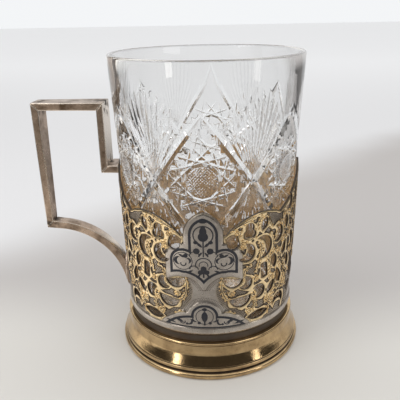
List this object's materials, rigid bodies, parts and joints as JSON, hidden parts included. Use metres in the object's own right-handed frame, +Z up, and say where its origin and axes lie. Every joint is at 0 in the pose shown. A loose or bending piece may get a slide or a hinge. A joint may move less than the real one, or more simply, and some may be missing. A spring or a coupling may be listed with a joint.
{
  "type": "tea glass holder",
  "caption": "Pierced and partly gilt tea glass holder with niello medallions, a moulded foot, a square strap handle and a lift-out cut crystal glass.",
  "frame": {"origin": "on the axis of the foot, at the level of the table it stands on", "axes": "+Z up along the axis of foot, sleeve and glass; -Y towards the front medallion; -X towards the handle"},
  "size_m": [0.1027, 0.0734, 0.115],
  "materials": {
    "gilt": "polished gilding over silver, worn on the high places",
    "silver": "old silver, softly polished",
    "oxidised_silver": "darkened silver with worn bright edges",
    "niello": "black niello, satin",
    "crystal": "clear cut crystal"
  },
  "bodies": {
    "holder": {"pierced_sleeve": "gilt", "front_medallion_niello": "niello", "back_medallion_niello": "niello", "front_lunette_niello": "niello", "back_lunette_niello": "niello", "foot_moulding": "gilt", "foot_ring": "gilt", "floor_plate": "silver", "handle_stub": "oxidised_silver", "handle_riser": "oxidised_silver", "handle_top_bar": "oxidised_silver", "handle_grip": "oxidised_silver", "handle_arm": "oxidised_silver", "handle_saddle": "oxidised_silver"},
    "glass": {"tea_glass": "crystal"}
  },
  "joints": [
    {"name": "glass_lift", "type": "slide", "parent": "holder", "child": "glass", "axis": [0, 0, 1], "range_m": [0, 0.09]}
  ]
}
